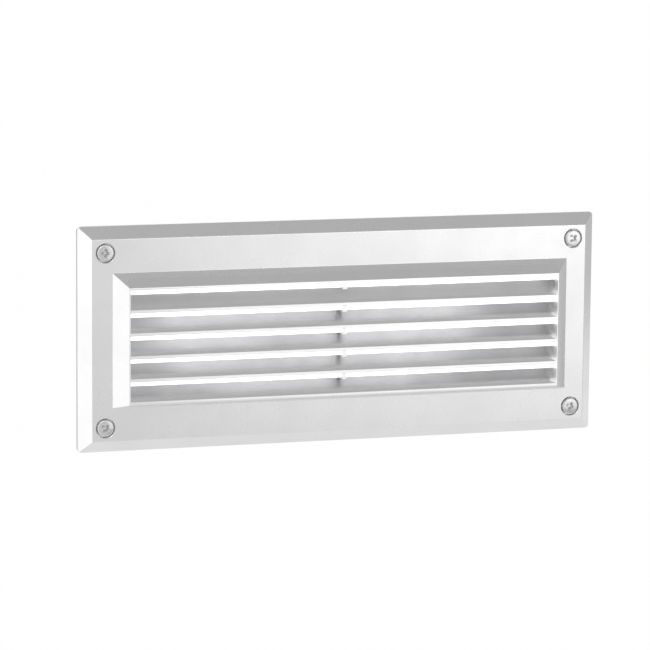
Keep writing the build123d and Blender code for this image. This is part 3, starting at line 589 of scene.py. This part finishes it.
def dress_frame(metals):
    """Every CAD node that stays gets its finished material."""
    dress(cover_material(), "louvre_cover")
    dress(lens_material(), "lens")
    dress(
        moulded("grey_silicone", (0.5, 0.51, 0.51), 0.55, grain=900.0),
        "lens_gasket", "cover_gasket",
    )
    dress(moulded("washer_nylon", (0.86, 0.86, 0.85), 0.5), *washers)
    dress(
        plain_metal(
            "spring_strip", (0.62, 0.63, 0.64), 0.28,
            grain=500.0, height=0.000003, stretch=(1.0, 1.0, 12.0),
        ),
        "lens_clips",
    )
    dress(
        metals["zinc"],
        "lens_clip_screws", "tray_screws", "board_screws", "driver_screws",
        "terminal_fixing_screws",
    )
    dress(metals["box"], "back_box")
    dress(plain_metal("turned_plug", (0.7, 0.71, 0.72), 0.32, grain=700.0), "conduit_plug")
    dress(
        moulded("white_enamel", (0.8, 0.8, 0.79), 0.3, grain=420.0, height=0.000008, spread=0.97),
        "reflector_tray",
    )
    dress(
        moulded("gap_pad", (0.42, 0.48, 0.55), 0.7, grain=700.0, height=0.00004),
        "thermal_pad",
    )
    dress(board_material(), "led_board")
    dress(moulded("connector_nylon", (0.84, 0.82, 0.76), 0.42), "board_connector")
    dress(moulded("terminal_nylon", (0.8, 0.8, 0.77), 0.4), "terminal_block")
    dress(moulded("black_rubber", (0.03, 0.03, 0.03), 0.6), "lead_grommet")
    dress(metals["brass"], "terminal_screws", "earth_screw")
    dress(plain_metal("tinned_copper", (0.76, 0.76, 0.74), 0.3), "earth_lug")
    for name, color, leads in (
        ("black_insulation", (0.03, 0.03, 0.03), ("live_lead", "led_lead_negative")),
        ("white_insulation", (0.82, 0.82, 0.8), ("neutral_lead",)),
        ("green_insulation", (0.04, 0.3, 0.1), ("earth_lead",)),
        ("red_insulation", (0.55, 0.04, 0.03), ("led_lead_positive",)),
    ):
        dress(moulded(name, color, 0.38, grain=500.0), *leads)


# Pieces

def new_piece(name, shape, materials, smooth_angle):
    """An object from a bmesh, smooth except where faces meet at more than an angle in degrees."""
    mesh = bpy.data.meshes.new(name)
    bmesh.ops.recalc_face_normals(shape, faces=shape.faces[:])
    shape.to_mesh(mesh)
    shape.free()
    for material in materials:
        mesh.materials.append(material)
    piece = bpy.data.objects.new(name, mesh)
    bpy.context.scene.collection.objects.link(piece)
    finish_shading(piece, smooth_angle)
    return piece


def finish_shading(piece, smooth_angle):
    """Smooth shading with sharp edges over an angle in degrees."""
    piece.data.shade_smooth()
    piece.data.set_sharp_from_angle(angle=math.radians(smooth_angle))


def loft_rings(shape, rings, closed_ends=True):
    """Quads between rings of points that all have the same count."""
    rows = [[shape.verts.new(point) for point in ring] for ring in rings]
    count = len(rows[0])
    for lower, upper in zip(rows, rows[1:]):
        for index in range(count):
            following = (index + 1) % count
            shape.faces.new((lower[index], lower[following], upper[following], upper[index]))
    if closed_ends:
        shape.faces.new(rows[0])
        shape.faces.new(rows[-1])
    return rows


def cut(piece, shape, smooth_angle):
    """Takes a bmesh's shape out of a piece for good."""
    cutter = new_piece("cutter", shape, [], CUTTER_ANGLE)
    modifier = piece.modifiers.new("cut", "BOOLEAN")
    modifier.operation = "DIFFERENCE"
    modifier.solver = "EXACT"
    modifier.object = cutter
    state = bpy.context.evaluated_depsgraph_get()
    mesh = bpy.data.meshes.new_from_object(piece.evaluated_get(state))
    piece.modifiers.clear()
    piece.data = mesh
    bpy.data.objects.remove(cutter)
    finish_shading(piece, smooth_angle)


def ring_round_y(radius, y):
    """Points of a circle round the Y axis."""
    angles = [2 * math.pi * side / SCREW_SIDES for side in range(SCREW_SIDES)]
    return [(radius * math.sin(angle), y, radius * math.cos(angle)) for angle in angles]


def thread_ring(y):
    """Points of one turn of a right-hand thread, cut square to its axis."""
    points = []
    for side in range(SCREW_SIDES):
        angle = 2 * math.pi * side / SCREW_SIDES
        phase = (y / THREAD_PITCH - side / SCREW_SIDES) % 1.0
        depth = min(1.0, max(0.0, THREAD_FLANK * abs(phase - 0.5) - THREAD_FLAT))
        radius = SHANK_RADIUS - THREAD_DEPTH * depth
        points.append((radius * math.sin(angle), y, radius * math.cos(angle)))
    return points


def screw_rings(length):
    """A pan head and its threaded shank, from the head's top to the point."""
    top = -HEAD_HEIGHT
    flat = HEAD_RADIUS - HEAD_ROUND
    rings = []
    for share in HEAD_CROWN_SHARES:
        rings.append(ring_round_y(flat * share, top - HEAD_CROWN * (1 - share ** 2)))
    for step in range(HEAD_ROUND_STEPS + 1):
        angle = math.radians(90.0 * step / HEAD_ROUND_STEPS)
        radius = flat + HEAD_ROUND * math.sin(angle)
        rings.append(ring_round_y(radius, top + HEAD_ROUND * (1 - math.cos(angle))))
    rings.append(ring_round_y(HEAD_RADIUS, -UNDERSIDE_BEVEL))
    rings.append(ring_round_y(HEAD_RADIUS - UNDERSIDE_BEVEL, 0.0))
    core = SHANK_RADIUS - THREAD_DEPTH
    rings.append(ring_round_y(core + UNDERSIDE_BEVEL, 0.0))
    rings.append(ring_round_y(core, UNDERSIDE_BEVEL))
    rings.append(ring_round_y(core, NECK_LENGTH))
    threaded = length - NECK_LENGTH - POINT_LENGTH
    for step in range(1, round(threaded / THREAD_PITCH * THREAD_STEPS) + 1):
        rings.append(thread_ring(NECK_LENGTH + step * THREAD_PITCH / THREAD_STEPS))
    rings.append(ring_round_y(core - POINT_LENGTH / 3, length - POINT_LENGTH / 3))
    rings.append(ring_round_y(core - POINT_LENGTH, length))
    return rings


def recess_shape(turn):
    """The tapered cross that a driver fits, its mouth just outside the head."""
    arm, half, corner = RECESS_ARM, RECESS_HALF_WIDTH, RECESS_CORNER
    outline = []
    for step in range(4):
        angle = math.radians(90.0 * step)
        for x, z in ((arm, -half), (arm, half), (corner, corner)):
            outline.append((
                x * math.cos(angle) - z * math.sin(angle),
                x * math.sin(angle) + z * math.cos(angle),
            ))
    mouth_scale = 1.0 + (1.0 - RECESS_TAPER) * RECESS_SPARE / RECESS_DEPTH
    levels = (
        (mouth_scale, -HEAD_HEIGHT - RECESS_SPARE),
        (RECESS_TAPER, -HEAD_HEIGHT + RECESS_DEPTH),
    )
    shape = bmesh.new()
    loft_rings(shape, [[(x * scale, y, z * scale) for x, z in outline] for scale, y in levels])
    shape.transform(Matrix.Rotation(math.radians(turn), 4, "Y"))
    return shape


def cover_screw(node, turn, material):
    """One cover screw where its CAD node is."""
    low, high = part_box(node)
    seat = Vector(((low.x + high.x) / 2, low.y + HEAD_HEIGHT, (low.z + high.z) / 2))
    shape = bmesh.new()
    loft_rings(shape, screw_rings(high.y - seat.y))
    piece = new_piece(f"{node}_threaded", shape, [material], SCREW_ANGLE)
    cut(piece, recess_shape(turn), SCREW_ANGLE)
    piece.data.transform(Matrix.Translation(seat))
    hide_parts(node)
    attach(piece, nodes[node]["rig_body"])


def islands(node):
    """The boxes of a node's separate solids, as (lowest corner, highest corner)."""
    shape = bmesh.new()
    shape.from_mesh(nodes[node].data)
    bmesh.ops.remove_doubles(shape, verts=shape.verts[:], dist=WELD_DISTANCE)
    waiting = set(shape.verts)
    boxes = []
    while waiting:
        reached = {waiting.pop()}
        edge = set(reached)
        while edge:
            edge = {link.other_vert(vert) for vert in edge for link in vert.link_edges} & waiting
            waiting -= edge
            reached |= edge
        low = Vector([min(vert.co[axis] for vert in reached) for axis in range(3)])
        high = Vector([max(vert.co[axis] for vert in reached) for axis in range(3)])
        boxes.append((low, high))
    shape.free()
    return sorted(boxes, key=lambda corners: (round(corners[0].x, 5), round(corners[0].z, 5)))


def rounded_square(centre, half, radius, y):
    """Points of a rounded square across Y."""
    points = []
    for quarter, (sign_x, sign_z) in enumerate(((1, 1), (-1, 1), (-1, -1), (1, -1))):
        for step in range(CHIP_ROUND_STEPS + 1):
            angle = math.radians(90.0 * quarter + 90.0 * step / CHIP_ROUND_STEPS)
            x = sign_x * (half - radius) + radius * math.cos(angle)
            z = sign_z * (half - radius) + radius * math.sin(angle)
            points.append((centre.x + x, y, centre.z + z))
    return points


def led_chips(white, phosphor):
    """Packages with a white frame and a sunk phosphor window."""
    shape = bmesh.new()
    window_faces = []
    for low, high in islands("led_chips"):
        half = (high.x - low.x) / 2
        inner = half - CHIP_FRAME
        levels = (
            (half, CHIP_EDGE, high.y),
            (half, CHIP_EDGE, low.y + CHIP_EDGE),
            (half - CHIP_EDGE, CHIP_EDGE, low.y),
            (inner, CHIP_WINDOW_ROUND, low.y),
            (inner - CHIP_EDGE, CHIP_WINDOW_ROUND, low.y + CHIP_SINK),
            (inner * 0.5, CHIP_WINDOW_ROUND * 0.5, low.y + CHIP_SINK * 0.7),
        )
        rows = loft_rings(shape, [rounded_square((low + high) / 2, *level) for level in levels])
        window = set(rows[-1]) | set(rows[-2])
        for vert in rows[-1]:
            window_faces += [face for face in vert.link_faces if set(face.verts) <= window]
    for face in window_faces:
        face.material_index = 1
    piece = new_piece("led_packages", shape, [white, phosphor], MOULDED_ANGLE)
    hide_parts("led_chips")
    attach(piece, nodes["led_chips"]["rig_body"])


def rectangle(low_x, high_x, low_z, high_z, y):
    """The corners of a rectangle across Y."""
    return [(low_x, y, low_z), (high_x, y, low_z), (high_x, y, high_z), (low_x, y, high_z)]


def driver_case(material):
    """The driver with a seam round its lid and a sunk plain field on its front."""
    low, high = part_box("led_driver")
    shape = bmesh.new()
    shape.from_mesh(nodes["led_driver"].data)
    bmesh.ops.remove_doubles(shape, verts=shape.verts[:], dist=WELD_DISTANCE)
    piece = new_piece("led_driver_case", shape, [material], MOULDED_ANGLE)

    near = low.y + SEAM_SETBACK
    lid = [vert.co.x for vert in piece.data.vertices if vert.co.y < near]
    left, right = min(lid), max(lid)
    rings = []
    for y, reach in (
        (near, CUTTER_SPARE),
        (near + SEAM_WIDTH, CUTTER_SPARE),
        (near + SEAM_WIDTH, -SEAM_DEPTH),
        (near, -SEAM_DEPTH),
        (near, CUTTER_SPARE),
    ):
        rings.append(rectangle(left - reach, right + reach, low.z - reach, high.z + reach, y))
    seam = bmesh.new()
    loft_rings(seam, rings, closed_ends=False)
    bmesh.ops.remove_doubles(seam, verts=seam.verts[:], dist=SEAM_WELD_DISTANCE)
    cut(piece, seam, MOULDED_ANGLE)

    middle = (left + right) / 2
    sides = (
        middle - FIELD_LENGTH / 2, middle + FIELD_LENGTH / 2,
        -FIELD_HEIGHT / 2, FIELD_HEIGHT / 2,
    )
    field = bmesh.new()
    loft_rings(field, [rectangle(*sides, y) for y in (low.y - CUTTER_SPARE, low.y + FIELD_SINK)])
    cut(piece, field, MOULDED_ANGLE)
    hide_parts("led_driver")
    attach(piece, nodes["led_driver"]["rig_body"])


def entry_thread(material):
    """The thread ridge in the open conduit entry."""
    mounts = frame["record"]["mounts"]
    mount = next(mount for mount in mounts if mount["name"] == "conduit_entry")
    centre = Vector(mount["pos_m"])
    end = max(
        vert.co.x for vert in nodes["back_box"].data.vertices
        if abs(vert.co.y - centre.y) < ENTRY_WALL_REACH
    )
    start = 2 * centre.x - end
    turns = int((end - start) / ENTRY_PITCH) - 1
    rings = []
    for step in range(turns * ENTRY_SIDES + 1):
        angle = 2 * math.pi * step / ENTRY_SIDES
        done = step / ENTRY_SIDES
        to_go = (turns * ENTRY_SIDES - step) / ENTRY_SIDES
        fade = min(1.0, done / ENTRY_FADE_TURNS, to_go / ENTRY_FADE_TURNS)
        x = end - ENTRY_PITCH * (ENTRY_SETBACK_PITCHES + done)
        ring = []
        for along, height in ENTRY_SECTION:
            radius = ENTRY_RADIUS - ENTRY_RIDGE * height * max(fade, ENTRY_LEAST_HEIGHT)
            ring.append((
                x + along * ENTRY_PITCH * ENTRY_SECTION_WIDTH,
                centre.y + radius * math.cos(angle),
                centre.z + radius * math.sin(angle),
            ))
        rings.append(ring)
    shape = bmesh.new()
    loft_rings(shape, rings)
    piece = new_piece("conduit_entry_thread", shape, [material], THREAD_ANGLE)
    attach(piece, nodes["back_box"]["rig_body"])


# Studio

def emitter(name, strength):
    """A plain glowing material."""
    material = bpy.data.materials.new(name)
    material.use_nodes = True
    tools = Nodes(material.node_tree)
    material.node_tree.nodes.clear()
    glow = tools.add("ShaderNodeEmission", {"Color": (1.0, 1.0, 1.0, 1.0), "Strength": strength})
    output = tools.add("ShaderNodeOutputMaterial")
    tools.link(glow.outputs["Emission"], output.inputs["Surface"])
    return material


def flat_sheet(name, width, height, z, material):
    """A rectangle across Z that is part of the studio."""
    mesh = bpy.data.meshes.new(name)
    shape = bmesh.new()
    corners = [(-0.5, -0.5), (0.5, -0.5), (0.5, 0.5), (-0.5, 0.5)]
    shape.faces.new([shape.verts.new((x * width, y * height, z)) for x, y in corners])
    shape.to_mesh(mesh)
    shape.free()
    mesh.materials.append(material)
    sheet = bpy.data.objects.new(name, mesh)
    bpy.context.scene.collection.objects.link(sheet)
    return sheet


def facing_object(centre, forward):
    """The place of something at a centre whose forward axis points at the object."""
    turned = (-Vector(centre)).to_track_quat(forward, "Y").to_matrix().to_4x4()
    return Matrix.Translation(centre) @ turned


def card(name, centre, width, height, strength):
    """A reflection card that faces the object: seen in its gloss and by nothing else."""
    piece = flat_sheet(name, width, height, 0.0, emitter(name, strength))
    piece.matrix_world = facing_object(centre, "Z")
    piece.visible_camera = False
    piece.visible_diffuse = False
    piece.visible_shadow = False
    piece.visible_transmission = False


def lamp(name, centre, size, power):
    """A soft square lamp that points at the object."""
    data = bpy.data.lights.new(name, "AREA")
    data.shape = "SQUARE"
    data.size = size
    data.energy = power
    piece = bpy.data.objects.new(name, data)
    bpy.context.scene.collection.objects.link(piece)
    piece.matrix_world = facing_object(centre, "-Z")
    piece.visible_glossy = False
    piece.visible_camera = False


def seen_as_white(tools):
    """1 for the rays that show a background, and 0 for the rest."""
    path = tools.add("ShaderNodeLightPath")
    shown = combined(tools, "MAXIMUM", path.outputs["Is Camera Ray"], path.outputs["Is Glossy Ray"])
    return combined(tools, "MAXIMUM", shown, path.outputs["Is Transmission Ray"])


def make_world():
    """Even light all round, shown as white."""
    world = bpy.data.worlds.new("studio")
    bpy.context.scene.world = world
    world.use_nodes = True
    tools = Nodes(world.node_tree)
    ground = world.node_tree.nodes["Background"]
    ground.inputs["Color"].default_value = (1.0, 1.0, 1.0, 1.0)
    strength = ranged(tools, seen_as_white(tools), WORLD_LEVEL, 1.0, 0.0, 1.0)
    tools.link(strength, ground.inputs["Strength"])


def make_floor():
    """A pale floor below the light."""
    material, tools, shader = principled("pale_floor", (0.9, 0.9, 0.9), 0.9)
    glow = tools.add("ShaderNodeEmission", {"Strength": 1.0})
    mix = tools.add("ShaderNodeMixShader")
    share = combined(tools, "MULTIPLY", seen_as_white(tools), FLOOR_WHITE_SHARE)
    tools.link(share, mix.inputs["Fac"])
    tools.link(shader.outputs["BSDF"], mix.inputs[1])
    tools.link(glow.outputs["Emission"], mix.inputs[2])
    output = material.node_tree.nodes["Material Output"]
    tools.link(mix.outputs["Shader"], output.inputs["Surface"])
    floor = flat_sheet("floor", 2 * FLOOR_HALF_SIZE, 2 * FLOOR_HALF_SIZE, FLOOR_Z, material)


def make_studio():
    """Soft light all round, with cards that give each side of the metal its tone."""
    make_world()
    make_floor()
    for values in CARDS:
        card(*values)
    for values in LAMPS:
        lamp(*values)


def make_pieces(metals):
    """The pieces that stand for CAD nodes or are added to them."""
    steel = screw_material()
    for node, turn in zip(screws, SCREW_TURNS):
        cover_screw(node, turn, steel)
    led_chips(moulded("chip_frame", (0.86, 0.85, 0.8), 0.35), phosphor_material())
    driver_case(moulded("driver_case", (0.78, 0.78, 0.75), 0.45, grain=1100.0, height=0.00003))
    entry_thread(metals["box"])


make_camera()
metals = {
    "zinc": plain_metal("zinc_plate", (0.7, 0.71, 0.72), 0.3),
    "brass": plain_metal("turned_brass", (0.8, 0.66, 0.36), 0.26),
    "box": cast_metal(
        "raw_cast", (0.59, 0.6, 0.61), (0.565, 0.575, 0.585), 0.5,
        grain=1300.0, grain_height=0.00004, pit_depth=0.00006,
    ),
}
dress_frame(metals)
make_pieces(metals)
make_studio()

scene = bpy.context.scene
scene.view_settings.view_transform = "Standard"
